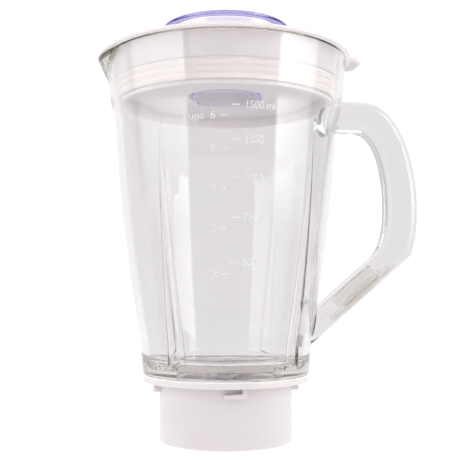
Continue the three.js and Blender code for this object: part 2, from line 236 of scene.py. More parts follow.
def round_edges(obj, width, angle=40, segments=3):
    modifier = obj.modifiers.new("bevel", "BEVEL")
    modifier.width = width * MM
    modifier.segments = segments
    modifier.limit_method = "ANGLE"
    modifier.angle_limit = math.radians(angle)
    modifier.harden_normals = False
    apply_modifiers(obj)


def dress(obj, body, material, slot, *nodes):
    """Gives a piece its material and its body, and hides the CAD nodes it stands for."""
    obj.data.materials.clear()
    obj.data.materials.append(material)
    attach(obj, body)
    if nodes:
        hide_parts(*nodes)
    return obj


# ---- materials ---------------------------------------------------------------------------


def node_material(name):
    material = bpy.data.materials.new(name)
    material.use_nodes = True
    tree = material.node_tree
    return material, tree, tree.nodes["Principled BSDF"]


def noise(tree, scale, detail=4, roughness=0.5, stretch=(1, 1, 1)):
    where = tree.nodes.new("ShaderNodeTexCoord")
    mapping = tree.nodes.new("ShaderNodeMapping")
    mapping.inputs["Scale"].default_value = stretch
    texture = tree.nodes.new("ShaderNodeTexNoise")
    texture.inputs["Scale"].default_value = scale
    texture.inputs["Detail"].default_value = detail
    texture.inputs["Roughness"].default_value = roughness
    tree.links.new(where.outputs["Object"], mapping.inputs["Vector"])
    tree.links.new(mapping.outputs["Vector"], texture.inputs["Vector"])
    return texture.outputs["Fac"]


def between(tree, factor, low, high):
    """Maps a noise factor to a range of values."""
    ramp = tree.nodes.new("ShaderNodeMapRange")
    ramp.inputs["From Min"].default_value = 0.3
    ramp.inputs["From Max"].default_value = 0.7
    ramp.inputs["To Min"].default_value = low
    ramp.inputs["To Max"].default_value = high
    tree.links.new(factor, ramp.inputs["Value"])
    return ramp.outputs["Result"]


def tinted(tree, factor, dark, light):
    ramp = tree.nodes.new("ShaderNodeValToRGB")
    ramp.color_ramp.elements[0].position = 0.3
    ramp.color_ramp.elements[0].color = (*dark, 1)
    ramp.color_ramp.elements[1].position = 0.7
    ramp.color_ramp.elements[1].color = (*light, 1)
    tree.links.new(factor, ramp.inputs["Fac"])
    return ramp.outputs["Color"]


def bump(tree, shader, height, strength, distance):
    node = tree.nodes.new("ShaderNodeBump")
    node.inputs["Strength"].default_value = strength
    node.inputs["Distance"].default_value = distance
    tree.links.new(height, node.inputs["Height"])
    tree.links.new(node.outputs["Normal"], shader.inputs["Normal"])


def absorbing(tree, color, density):
    volume = tree.nodes.new("ShaderNodeVolumeAbsorption")
    volume.inputs["Color"].default_value = (*color, 1)
    volume.inputs["Density"].default_value = density
    output = tree.nodes["Material Output"]
    tree.links.new(volume.outputs["Volume"], output.inputs["Volume"])


def face_tinted(tree, shader):
    """Takes the shader's colour from the piece's own "tint" attribute."""
    tint = tree.nodes.new("ShaderNodeAttribute")
    tint.attribute_name = "tint"
    tree.links.new(tint.outputs["Color"], shader.inputs["Base Color"])


def tint_faces(obj, choose):
    """Colours each face by choose(middle), its middle in millimetres round the jar's axis."""
    tints = obj.data.attributes.new("tint", "FLOAT_COLOR", "CORNER")
    for face in obj.data.polygons:
        tint = choose(face.center / MM - Vector((AXIS_X, 0, 0)))
        for corner in face.loop_indices:
            tints.data[corner].color = (*tint, 1)
    return obj


def jar_glass():
    material, tree, shader = node_material("jar_glass")
    face_tinted(tree, shader)
    shader.inputs["Transmission Weight"].default_value = 1
    shader.inputs["IOR"].default_value = 1.51
    ripple = noise(tree, 26, 2, 0.4)
    tree.links.new(between(tree, noise(tree, 60, 3), 0.0, 0.035), shader.inputs["Roughness"])
    bump(tree, shader, ripple, 0.06, 0.0012)
    absorbing(tree, (0.56, 0.56, 0.46), 7)
    return material


def white_plastic(name, dark, light, glow=0):
    """Slightly translucent white plastic. The glow is a painted glow, an emission standing in for
    the light that gathers in a deep sleeve.
    """
    material, tree, shader = node_material(name)
    shader.inputs["Emission Color"].default_value = WHITE_GLOW
    shader.inputs["Emission Strength"].default_value = glow
    shader.inputs["IOR"].default_value = 1.49
    shader.inputs["Subsurface Weight"].default_value = 0.6
    shader.inputs["Subsurface Radius"].default_value = (1.0, 0.8, 0.75)
    shader.inputs["Subsurface Scale"].default_value = 0.006
    mottle = noise(tree, 38, 5, 0.6)
    tree.links.new(tinted(tree, mottle, dark, light),
                   shader.inputs["Base Color"])
    tree.links.new(between(tree, noise(tree, 900, 2), 0.34, 0.44), shader.inputs["Roughness"])
    bump(tree, shader, noise(tree, 2400, 3), 0.08, 0.0002)
    return material


def tinted_plastic():
    material, tree, shader = node_material("tinted_plastic")
    face_tinted(tree, shader)
    shader.inputs["Transmission Weight"].default_value = 1
    shader.inputs["IOR"].default_value = 1.49
    tree.links.new(between(tree, noise(tree, 90, 3), 0.02, 0.07), shader.inputs["Roughness"])
    bump(tree, shader, noise(tree, 40, 2), 0.08, 0.0008)
    absorbing(tree, (0.30, 0.17, 0.76), 20)
    return material


def pale_rubber():
    material, tree, shader = node_material("pale_rubber")
    # Painted glow: an emission lifts the pale rubber of the seal and the gasket where they sit in
    # shade.
    shader.inputs["Emission Color"].default_value = WHITE_GLOW
    shader.inputs["Emission Strength"].default_value = 0.14
    shader.inputs["IOR"].default_value = 1.42
    shader.inputs["Subsurface Weight"].default_value = 0.3
    shader.inputs["Subsurface Scale"].default_value = 0.003
    cloud = noise(tree, 30, 4)
    tree.links.new(tinted(tree, cloud, (0.80, 0.745, 0.71), (0.86, 0.81, 0.775)),
                   shader.inputs["Base Color"])
    tree.links.new(between(tree, noise(tree, 300, 3), 0.42, 0.58), shader.inputs["Roughness"])
    bump(tree, shader, noise(tree, 1500, 3), 0.15, 0.0002)
    return material


def black_rubber():
    material, tree, shader = node_material("black_rubber")
    cloud = noise(tree, 120, 5)
    tree.links.new(tinted(tree, cloud, (0.018, 0.018, 0.02), (0.035, 0.034, 0.036)),
                   shader.inputs["Base Color"])
    tree.links.new(between(tree, noise(tree, 500, 3), 0.55, 0.75), shader.inputs["Roughness"])
    bump(tree, shader, noise(tree, 1800, 4), 0.25, 0.0003)
    return material


def brushed_steel():
    material, tree, shader = node_material("brushed_steel")
    shader.inputs["Metallic"].default_value = 1
    grain = noise(tree, 90, 4, 0.6, (40, 2, 2))
    tree.links.new(tinted(tree, grain, (0.56, 0.57, 0.58), (0.70, 0.71, 0.72)),
                   shader.inputs["Base Color"])
    tree.links.new(between(tree, grain, 0.22, 0.40), shader.inputs["Roughness"])
    bump(tree, shader, grain, 0.12, 0.0001)
    return material


def sintered_bronze():
    material, tree, shader = node_material("sintered_bronze")
    shader.inputs["Metallic"].default_value = 1
    speck = noise(tree, 1400, 6, 0.7)
    tree.links.new(tinted(tree, speck, (0.36, 0.25, 0.13), (0.62, 0.46, 0.27)),
                   shader.inputs["Base Color"])
    tree.links.new(between(tree, speck, 0.40, 0.62), shader.inputs["Roughness"])
    bump(tree, shader, speck, 0.3, 0.0002)
    return material


def raised_marks():
    material, tree, shader = node_material("raised_marks")
    shader.inputs["Transmission Weight"].default_value = 0.4
    shader.inputs["IOR"].default_value = 1.5
    tree.links.new(tinted(tree, noise(tree, 500, 3), (0.90, 0.90, 0.90), (0.98, 0.98, 0.98)),
                   shader.inputs["Base Color"])
    tree.links.new(between(tree, noise(tree, 900, 3), 0.25, 0.45), shader.inputs["Roughness"])
    return material


GLASS = jar_glass()
CLEAR_TINT = (0.85, 0.845, 0.855)
# Painted shade in the leg's recesses.
PAINTED_RECESS_SHADE = (0.64, 0.60, 0.56)
# Painted shade, dark green, along the spout's rim, keel and fold.
PAINTED_SPOUT_SHADE = (0.10, 0.13, 0.05)
CAP_TINT = (0.96, 0.955, 0.985)
CAP_RIM_TINT = (0.46, 0.42, 0.86)
HANDLE_TINT = (0.79, 0.785, 0.795)
# Painted shade where the handle's ends meet the wall.
PAINTED_JUNCTION_SHADE = (0.58, 0.58, 0.51)
# Painted shade along the front flutes' edges.
PAINTED_FLUTE_SHADE = (0.34, 0.32, 0.26)
# The white plastic, with a faint painted glow.
WHITE = white_plastic("white_plastic", (0.80, 0.755, 0.755), (0.83, 0.79, 0.79), 0.03)
# A copy of the white plastic with a stronger painted glow, for faces in shade: round the filler
# hole, under the brim and on the collar's top.
PAINTED_GLOW_WHITE = white_plastic("white_plastic_painted_glow", (0.80, 0.755, 0.755), (0.83, 0.79, 0.79), 0.15)
# A darker copy of the white plastic, without glow, for the collar; on the lid's top and tab it is
# painted shade, a shaded copy of the lid's own white.
DIMMED_WHITE = white_plastic("white_plastic_dimmed", (0.65, 0.62, 0.62), (0.68, 0.65, 0.65))
TINTED = tinted_plastic()
PALE = pale_rubber()
BLACK = black_rubber()
STEEL = brushed_steel()
BRONZE = sintered_bronze()
MARKS = raised_marks()

# ---- glass jar ---------------------------------------------------------------------------


def jar_radius(z):
    """Outside radius of the jar above its bottom corner."""
    if z <= WAIST_Z:
        return FOOT_R + (WAIST_R - FOOT_R) * max(0, (z - 44.5) / (WAIST_Z - 44.5))
    if z <= SHOULDER_Z:
        t = (z - WAIST_Z) / (SHOULDER_Z - WAIST_Z)
        return WAIST_R + (SHOULDER_R - WAIST_R) * t + SHOULDER_BULGE * 4 * t * (1 - t)
    if z <= LIP_Z:
        t = (z - SHOULDER_Z) / (LIP_Z - SHOULDER_Z)
        ease = t * t * (3 - 2 * t)
        return SHOULDER_R + (LIP_R - SHOULDER_R) * (0.5 * t + 0.5 * ease)
    return LIP_R + (RIM_R - LIP_R) * (z - LIP_Z) / (RIM_Z - LIP_Z)


SPOUT_ROOT = 14
SPOUT_HALF = 24


def spout_share(angle, z):
    """How high a point is in the spout, and how far from its keel: 0 there, 1 at its fold."""
    away = math.degrees(abs(math.atan2(math.sin(angle - math.pi), math.cos(angle - math.pi))))
    rise = min(1, (z - RIM_Z + SPOUT_ROOT) / SPOUT_ROOT)
    if rise <= 0:
        return 0, math.inf
    return rise, away / (SPOUT_HALF * rise)


def spout_pull(angle, z):
    """How far the spout draws the wall outwards at an angle from +X, in radians."""
    rise, share = spout_share(angle, z)
    if share >= 1:
        return 0
    slope = 1 - share
    eased = slope * slope * (3 - 2 * slope)
    return (SPOUT_REACH - RIM_R) * rise * (0.45 * slope + 0.55 * eased)


FLUTES = [math.radians(side * 90 + turn)
          for side in (-1, 1) for turn in (-FLUTE_ANGLE, FLUTE_ANGLE)]
FLUTE_REACH = math.radians(22)  # how far from a flute's centre the columns are drawn in
FLUTE_SHARE = 0.55  # the share of those columns that lie in the flute


def flute_half(z):
    """Half the angle that a flute takes at a height, in radians."""
    share = (FLUTE_TOP - z) / (FLUTE_TOP - FLUTE_BOTTOM)
    return math.radians(FLUTE_HALF) * min(1, max(0.06, share))


def fluted(angle, r, z):
    """Draws the columns near each flute in to its edges, and presses the flute in."""
    pressed = 0
    depth_share = 1 if r > jar_radius(z) - GLASS_WALL / 2 else INNER_FLUTE_SHARE
    for centre in FLUTES:
        offset = math.atan2(math.sin(angle - centre), math.cos(angle - centre))
        share = abs(offset) / FLUTE_REACH
        if share >= 1:
            continue
        half = flute_half(z)
        if share <= FLUTE_SHARE:
            across = share / FLUTE_SHARE
            away = half * across
            depth = FLUTE_DEPTH * depth_share * half / math.radians(FLUTE_HALF)
            towards_front = -math.copysign(across, offset * math.cos(centre) * math.sin(centre))
            foot = FLUTE_BOTTOM - FLUTE_SLANT * towards_front
            fade = min(1, max(0, (z - foot) / 1.6)) if z < FLUTE_TOP else 0
            at_back = math.sin(centre) > 0
            gentle = at_back or towards_front < 0
            pressed = depth * fade * ((1 - across ** 2) ** 1.6 if gentle else 1 - across ** 4)
        else:
            t = (share - FLUTE_SHARE) / (1 - FLUTE_SHARE)
            away = half + (FLUTE_REACH - half) * t
        angle = centre + math.copysign(away, offset)
        break
    return angle, r - pressed, z


def on_flute_edge(angle, r, z):
    """Whether a point of the outer wall lies along the edge of one of the two front flutes, where
    the flute's painted shade goes.
    """
    if not FLUTE_BOTTOM < z < FLUTE_TOP or r < jar_radius(z) - GLASS_WALL / 2:
        return False
    for centre in FLUTES:
        offset = abs(math.atan2(math.sin(angle - centre), math.cos(angle - centre)))
        if math.sin(centre) < 0 and 0.88 < offset / flute_half(z) < 1:
            return True
    return False


def jar_shape(angle, r, z):
    if r < NECK_R + 2:
        return angle, r, z
    angle, r, z = fluted(angle, r, z)
    return angle, r + spout_pull(angle, z), z


def jar_body():
    outside = [44.5 + 0.7 * k for k in range(16)] + [56 + 3 * k for k in range(56)]
    outside += [223 + 1.2 * k for k in range(12)]
    outside = [z for z in outside if z < RIM_Z - 3] + [RIM_Z - 2.2]
    inside = [z for z in reversed(outside) if z > FLOOR_Z + 9]
    corners = [
        (NECK_BORE_R, NECK_BOTTOM, 0.8),
        (NECK_R, NECK_BOTTOM, 0.8),
        (NECK_R, GLASS_BOTTOM, 0.6),
        (FOOT_R - 0.2, GLASS_BOTTOM, 4.6),
        *[(jar_radius(z), z) for z in outside],
        (RIM_R, RIM_Z, 0.8),
        (RIM_R - GLASS_WALL, RIM_Z, 1.2),
        *[(jar_radius(z) - GLASS_WALL, z) for z in inside],
        (FOOT_R - GLASS_WALL + 0.9, FLOOR_Z + 0.6, 8),
        (NECK_BORE_R + 3, FLOOR_Z - 0.8, 1.5),
        (NECK_BORE_R, FLOOR_Z - 4, 1.5),
    ]
    return turned("glass_jar_body", corners, 360, shape=jar_shape, smooth_angle=28)


def quadratic(a, b, c, t):
    return (1 - t) ** 2 * a + 2 * t * (1 - t) * b + t * t * c


def cubic(a, b, c, d, t):
    return (1 - t) ** 3 * a + 3 * (1 - t) ** 2 * t * b + 3 * (1 - t) * t * t * c + t ** 3 * d


HANDLE_WIDTH = 20
GRIP_Z, GRIP_WIDTH = 146, 21
KNEE_Z = 116
LEG_SLOPE = math.radians(41)


def handle_edges():
    """Matching points along the handle's outer and inner edges, from top to bottom."""
    top, under = 215, 195
    leg_top, leg_foot = 81, 60.7
    root_top = jar_radius(204) - 2.2
    inner_x = HANDLE_REACH - GRIP_WIDTH
    knee_out = Vector((HANDLE_REACH - 4.6, KNEE_Z - 1))
    foot_out = Vector((knee_out.x - (KNEE_Z - leg_foot) / math.tan(LEG_SLOPE), leg_foot))
    foot_in = Vector((jar_radius(leg_top) + 0.6, leg_top))
    rise = math.tan(LEG_SLOPE)
    knee_in = foot_in + Vector((1, rise)) * ((KNEE_Z - leg_top) / rise)
    knee_in += Vector((-2, -1.7))
    edges = []
    for k in range(5):
        t = k / 5
        edges.append((Vector((root_top + (90 - root_top) * t, top)),
                      Vector((root_top + (84 - root_top) * t, under))))
    for k in range(28):
        t = k / 28
        edges.append((
            cubic(Vector((90, top)), Vector((112, top - 1)), Vector((HANDLE_REACH, 180)),
                  Vector((HANDLE_REACH, GRIP_Z)), t),
            cubic(Vector((84, under)), Vector((99, under)), Vector((inner_x, 172)),
                  Vector((inner_x, GRIP_Z)), t),
        ))
    for k in range(16):
        t = k / 16
        edges.append((
            quadratic(Vector((HANDLE_REACH, GRIP_Z)), Vector((HANDLE_REACH, 128)), knee_out, t),
            quadratic(Vector((inner_x, GRIP_Z)), Vector((inner_x, 124)), knee_in, t),
        ))
    for k in range(17):
        t = k / 16
        edges.append((knee_out.lerp(foot_out, t), knee_in.lerp(foot_in, t)))
    root = Vector((jar_radius(70) - 2.4 - foot_out.x, -3.5))
    edges.append((foot_out + root, foot_in + root))
    return edges


def handle():
    """A bar of rounded section swept between its outer and its inner edge."""
    around = 96
    roundness = 2 / 3.4  # a superellipse's power; 2 / 2 would be round
    bm = bmesh.new()
    rings = []
    for outer, inner in handle_edges():
        centre, half = (outer + inner) / 2, (outer - inner) / 2
        ring = []
        for k in range(around):
            a = 2 * math.pi * k / around
            c, s = math.cos(a), math.sin(a)
            u = math.copysign(abs(c) ** roundness, c)
            v = math.copysign(abs(s) ** roundness, s)
            point = centre + half * u
            ring.append(bm.verts.new((point.x, v * HANDLE_WIDTH / 2, point.y)))
        rings.append(ring)
    for low, high in zip(rings, rings[1:]):
        for k in range(around):
            n = (k + 1) % around
            bm.faces.new((low[k], low[n], high[n], high[k]))
    bm.faces.new(rings[0])
    bm.faces.new(list(reversed(rings[-1])))
    return new_object("handle_tool", bm, 40)


def handle_pads():
    """Low mounds where the handle's two ends run into the wall."""
    bm = bmesh.new()
    for z, half_height in ((205, 13.5), (71.5, 15.5)):
        made = bmesh.ops.create_uvsphere(bm, u_segments=40, v_segments=32, radius=1)
        bmesh.ops.scale(bm, verts=made["verts"], vec=(6, 13, half_height))
        lean = math.atan2(jar_radius(z + 5) - jar_radius(z - 5), 10)
        turn = Matrix.Rotation(lean, 3, "Y")
        bmesh.ops.rotate(bm, verts=made["verts"], cent=(0, 0, 0), matrix=turn)
        bmesh.ops.translate(bm, verts=made["verts"], vec=(jar_radius(z) - 3.2, 0, z))
    return new_object("pad_tool", bm)


def neck_lugs():
    bm = bmesh.new()
    for k in range(4):
        middle = k * 90
        sector(bm, NECK_R - 1, NECK_R + 1.7, 30.5, 33.5,
               middle - BAYONET_HALF, middle + BAYONET_HALF)
    return new_object("neck_lug_tool", bm)


RECESS_MIDDLE = Vector((85.5, 0, 94))
# How far the painted shade in each recess reaches, along and across the leg.
PAINTED_RECESS_SHADE_HALF_LENGTH, PAINTED_RECESS_SHADE_HALF_WIDTH = 26, 4.1


def leg_recesses():
    """Long shallow hollows, one on each side of the handle's lower leg."""
    length, width, thick, depth = 60, 10.5, 16, 1.8
    bm = bmesh.new()
    for side in (-1, 1):
        made = bmesh.ops.create_uvsphere(bm, u_segments=40, v_segments=24, radius=1)
        half = Vector((length / 2, thick / 2, width / 2))
        bmesh.ops.scale(bm, verts=made["verts"], vec=half)
        turn = Matrix.Rotation(-LEG_SLOPE, 3, "Y")
        bmesh.ops.rotate(bm, verts=made["verts"], cent=(0, 0, 0), matrix=turn)
        away = side * (HANDLE_WIDTH / 2 + thick / 2 - depth)
        bmesh.ops.translate(bm, verts=made["verts"], vec=RECESS_MIDDLE + Vector((0, away, 0)))
    return new_object("recess_tool", bm)


def glass_jar():
    jar = jar_body()
    boolean(jar, handle(), "UNION")
    boolean(jar, handle_pads(), "UNION")
    boolean(jar, neck_lugs(), "UNION")
    boolean(jar, leg_recesses(), "DIFFERENCE")
    smooth(jar, 30)
    jar.name = "glass_jar_clear"
    jar.visible_shadow = False
    dress(jar, "jar", GLASS, "jar_glass", "glass_jar")
    return tint_faces(jar, jar_tint)


def jar_tint(middle):
    """Colours a face of the jar: painted shade along the spout's rim, keel and fold, along the
    front flutes' edges, in the leg's recesses and at the handle's roots; elsewhere the glass's own
    tint, another on the handle.
    """
    angle, away = math.atan2(middle.y, middle.x), middle.xy.length
    rise, share = spout_share(angle, middle.z)
    on_rim = middle.z > RIM_Z - 0.9 and share < 1.05
    on_keel = share < 0.09 and rise > 0.2
    on_fold = 0.84 < share < 1.04 and rise > 0.2
    # Painted shade along the spout's rim, keel and fold.
    if on_rim or on_keel or on_fold:
        return PAINTED_SPOUT_SHADE
    # Painted shade along the front flutes' edges.
    if on_flute_edge(angle, away, middle.z):
        return PAINTED_FLUTE_SHADE
    # Painted shade in the leg's recesses.
    along = Vector((math.cos(LEG_SLOPE), 0, math.sin(LEG_SLOPE)))
    offset = middle - RECESS_MIDDLE
    aside = Vector((offset.x, 0, offset.z))
    aside -= along * aside.dot(along)
    on_recess = aside.length < PAINTED_RECESS_SHADE_HALF_WIDTH and abs(middle.y) < HANDLE_WIDTH / 2 - 0.2
    if on_recess and abs(offset.dot(along)) < PAINTED_RECESS_SHADE_HALF_LENGTH:
        return PAINTED_RECESS_SHADE
    # Painted shade round the handle's roots, just outside the wall.
    out = away - jar_radius(middle.z)
    at_root = middle.z > 190 or 55 < middle.z < 90
    if middle.x > 0 and 0.15 < out < 1.3 and abs(middle.y) < 13 and at_root:
        return PAINTED_JUNCTION_SHADE
    on_handle = middle.x > jar_radius(middle.z) + 1.5
    return HANDLE_TINT if on_handle else CLEAR_TINT


MARK_DEPTH = 0.35
NUMERAL_HEIGHT = 4.3
CAPITAL_SHARE = 0.7  # a numeral's height as a share of the font's size
TICK_HALF = 2.3
CUP_NUMERAL_AZIMUTH, CUP_TICK_AZIMUTH, CUP_WORD_AZIMUTH = -13.2, -7.9, -17.2
MILLILITRE_AZIMUTH, MILLILITRE_TICK_AZIMUTH = 1.4, -2.8
CUP_MARKS = ((6, 190.1), (5, 172.0), (4, 149.8), (3, 126.9), (2, 101.8))
MILLILITRE_MARKS = ((1500, 196.0), (1250, 176.8), (1000, 155.7), (750, 133.4), (500, 108.1))


def wrap(bm, verts, azimuth, z):
    """Bends flat marks, drawn in X and Y, onto the jar's wall, with their depth outwards."""
    for v in verts:
        height = z + v.co.y
        radius = jar_radius(height)
        angle = math.radians(azimuth - 90) + v.co.x / radius
        out = radius - 0.1 + v.co.z
        v.co = Vector((out * math.cos(angle), out * math.sin(angle), height))


def add_text(bm, words, width_share, azimuth, z, align):
    curve = bpy.data.curves.new("mark", "FONT")
    curve.body = words
    curve.size = NUMERAL_HEIGHT / CAPITAL_SHARE
    curve.extrude = MARK_DEPTH / 2
    curve.resolution_u = 4
    curve.align_x = align
    curve.align_y = "CENTER"
    flat = bpy.data.objects.new("mark", curve)
    bpy.context.scene.collection.objects.link(flat)
    graph = bpy.context.evaluated_depsgraph_get()
    mesh = bpy.data.meshes.new_from_object(flat.evaluated_get(graph))
    bpy.data.objects.remove(flat)
    bpy.data.curves.remove(curve)
    before = set(bm.verts)
    bm.from_mesh(mesh)
    bpy.data.meshes.remove(mesh)
    added = [v for v in bm.verts if v not in before]
    for v in added:
        v.co.x *= width_share
        v.co.z += MARK_DEPTH / 2
    wrap(bm, added, azimuth, z)


def add_tick(bm, azimuth, z):
    made = bmesh.ops.create_grid(bm, x_segments=6, y_segments=1, size=1)
    bmesh.ops.scale(bm, verts=made["verts"], vec=(TICK_HALF, 0.35, 1))
    faces = list(dict.fromkeys(f for v in made["verts"] for f in v.link_faces))
    raised = bmesh.ops.extrude_face_region(bm, geom=faces, use_keep_orig=True)
    top = [g for g in raised["geom"] if isinstance(g, bmesh.types.BMVert)]
    for v in top:
        v.co.z = MARK_DEPTH
    wrap(bm, made["verts"] + top, azimuth, z)


def graduation():
    """Raised cups and millilitre marks moulded on the front of the jar."""
    bm = bmesh.new()
    for cups, z in CUP_MARKS:
        add_text(bm, str(cups), 1.0, CUP_NUMERAL_AZIMUTH, z, "CENTER")
        add_tick(bm, CUP_TICK_AZIMUTH, z)
    add_text(bm, "cups", 1.1, CUP_WORD_AZIMUTH, CUP_MARKS[0][1], "RIGHT")
    for amount, z in MILLILITRE_MARKS:
        words = "1500 ml" if amount == 1500 else str(amount)
        add_text(bm, words, 0.9, MILLILITRE_AZIMUTH, z, "LEFT")
        add_tick(bm, MILLILITRE_TICK_AZIMUTH, z)
    marks = new_object("graduation_marks", bm, 30)
    return dress(marks, "jar", MARKS, "jar_glass")


# ---- lid, seal and cap -------------------------------------------------------------------


def lid_shape(angle, r, z):
    """Draws the brim out over the spout."""
    if r < RIM_R or z < RIM_Z:
        return angle, r, z
    share = (r - RIM_R) / (BRIM_R - RIM_R)
    pull = (SPOUT_REACH - BRIM_R + 0.1) * spout_window(angle)
    return angle, r + pull * min(1, share), z


def spout_window(angle):
    away = math.degrees(abs(math.atan2(math.sin(angle - math.pi), math.cos(angle - math.pi))))
    return math.exp(-((away / 13) ** 2))


def lid_tab():
    """The thumb tab over the handle: a slab with a rounded outline and soft edges."""
    half, corner, low, thick = 12, 11.5, BRIM_Z + 0.2, 3.8
    outline = soften([(BRIM_R - 7, -half), (TAB_REACH, -half, corner), (TAB_REACH, half, corner),
                      (BRIM_R - 7, half)], steps=10)
    bm = bmesh.new()
    floor_ring = [bm.verts.new((x, y, low)) for x, y in outline]
    top_ring = [bm.verts.new((x, y, low + thick)) for x, y in outline]
    bm.faces.new(list(reversed(floor_ring)))
    bm.faces.new(top_ring)
    for k in range(len(outline)):
        n = (k + 1) % len(outline)
        bm.faces.new((floor_ring[k], floor_ring[n], top_ring[n], top_ring[k]))
    tab = new_object("lid_tab_tool", bm, 60)
    round_edges(tab, 1.6, 50, 4)
    return tab


def light_sleeve(piece):
    """Gives the faces round the filler hole and under the brim the copy of the white plastic with a
    stronger painted glow.
    """
    piece.data.materials.append(PAINTED_GLOW_WHITE)
    for face in piece.data.polygons:
        away = face.center / MM - Vector((AXIS_X, 0, 0))
        under_brim = face.normal.z < -0.9 and away.z > RIM_Z
        if away.xy.length < SLEEVE_R or (under_brim and away.xy.length < BRIM_EDGE_R):
            face.material_index = 1
    return piece


def lid():
    seal_bottom, seal_top = seal_low.z, seal_high.z
    seat_r = jar_radius(seal_bottom) - GLASS_WALL - 3.3
    upper_r = jar_radius(seal_top) - GLASS_WALL - 0.7
    inner_r = seat_r - 2.4
    sleeve_out = HOLE_R + 2
    corners = [
        (HOLE_R, SLEEVE_Z, 0.4),
        (sleeve_out, SLEEVE_Z, 0.8),
        (sleeve_out, LID_TOP - 2.6, 1.5),
        (inner_r - 6, LID_TOP - 4.2, 4),
        (inner_r, LID_TOP - 7.6, 3),
        (inner_r, lid_low.z, 0.8),
        (seat_r + 0.9, lid_low.z, 0.8),
        (seat_r + 0.9, seal_bottom - 0.05, 0.3),
        (seat_r, seal_bottom - 0.05, 0.2),
        (seat_r, seal_top + 0.05, 0.2),
        (upper_r, seal_top + 0.05, 0.5),
        (upper_r + 1.2, BRIM_Z, 0.5),
        (RIM_R + 0.5, BRIM_Z),
        (BRIM_R, BRIM_Z, 0.35),
        (BRIM_R, BRIM_Z + 0.9, 0.5),
        (BRIM_R - 2, BRIM_Z + 1.9, 1.2),
        (BRIM_R - 8, BRIM_Z + 3.4, 3),
        (62, LID_TOP - 2, 8),
        (40, LID_TOP, 4),
        (TURRET_R, LID_TOP, 0.6),
        (TURRET_R, TURRET_Z, 0.8),
        (HOLE_R, TURRET_Z, 0.8),
    ]
    piece = turned("lid_moulding", corners, 360, shape=lid_shape)
    boolean(piece, lid_tab(), "UNION")
    smooth(piece, 35)
    piece.name = "lid_moulding"
    dress(piece, "lid", WHITE, "white_plastic", "lid")
    light_sleeve(piece)
    # The lid's top and tab get the darker copy: painted shade on the lid's own white.
    piece.data.materials.append(DIMMED_WHITE)
    for face in piece.data.polygons:
        away = face.center / MM - Vector((AXIS_X, 0, 0))
        on_top = face.normal.z > -0.5 and away.z > BRIM_Z and away.xy.length > SLEEVE_R
        if on_top or away.x > BRIM_EDGE_R:
            face.material_index = 2
    return piece


def lid_inner_plate():
    """The plate that closes the plug, with the tube that guides the cap's cup."""
    low, high = box_mm("lid_inner_plate")
    outer, guide_r, plate_top = high.y, 24.5, low.z + 1.6
    corners = [
        (guide_r, low.z, 0.5),
        (outer, low.z, 0.3),
        (outer, plate_top, 0.3),
        (guide_r + 1.6, plate_top, 0.8),
        (guide_r + 1.6, high.z, 0.4),
        (guide_r, high.z, 0.4),
    ]
    piece = turned("lid_inner_disc", corners, 200)
    dress(piece, "lid", WHITE, "white_plastic", "lid_inner_plate")
    return light_sleeve(piece)


def lid_seal():
    seat_r = jar_radius(seal_low.z) - GLASS_WALL - 3.0
    ribs = 3
    pitch = (seal_high.z - seal_low.z) / ribs
    corners = [(seat_r, seal_low.z, 0.2), (seat_r + 1.5, seal_low.z, 0.3)]
    for k in range(ribs):
        z = seal_low.z + pitch * (k + 0.5)
        crest = jar_radius(z) - GLASS_WALL - 0.45
        corners += [(crest - 0.8, z - pitch * 0.46, 0.3), (crest, z, 1.2),
                    (crest - 0.8, z + pitch * 0.46, 0.3)]
    crown = jar_radius(seal_high.z) - GLASS_WALL - 0.8
    corners += [(crown, seal_high.z, 0.3), (seat_r, seal_high.z, 0.2)]
    piece = turned("lid_seal_ring", corners, 200)
    return dress(piece, "lid", PALE, "pale_rubber", "lid_seal")


def filler_cap():
    cap_r = (cap_high.x - cap_low.x) / 2
    top, bottom = cap_high.z, cap_low.z
    band = top - 2.4
    skirt_r, skirt_z = 38.7, LID_TOP + 0.7
    cup_r = 23.7
    corners = [
        (0, top - 3.4),
        (cup_r - 2, top - 4.0, 2.5),
        (cup_r - 2.5, bottom, 0.5),
        (cup_r - 1.1, bottom, 0.6),
        (cup_r, band, 1.2),
        (skirt_r - 2, band, 1.2),
        (skirt_r - 2, skirt_z, 0.5),
        (skirt_r, skirt_z, 0.5),
        (skirt_r, band, 0.6),
        (cap_r, band, 1.1),
        (cap_r, top, 1.1),
        (cap_r - 5, top, 1),
        (cap_r - 7, top - 1.2, 1),
        (0, top - 1.2),
    ]
    piece = turned("filler_cap_clear", corners, 240, closed=False)
    piece.visible_shadow = False
    tint_faces(piece, lambda middle: CAP_RIM_TINT if middle.xy.length > skirt_r else CAP_TINT)
    return dress(piece, "cap", TINTED, "tinted_plastic", "filler_cap")


# ---- collar ------------------------------------------------------------------------------


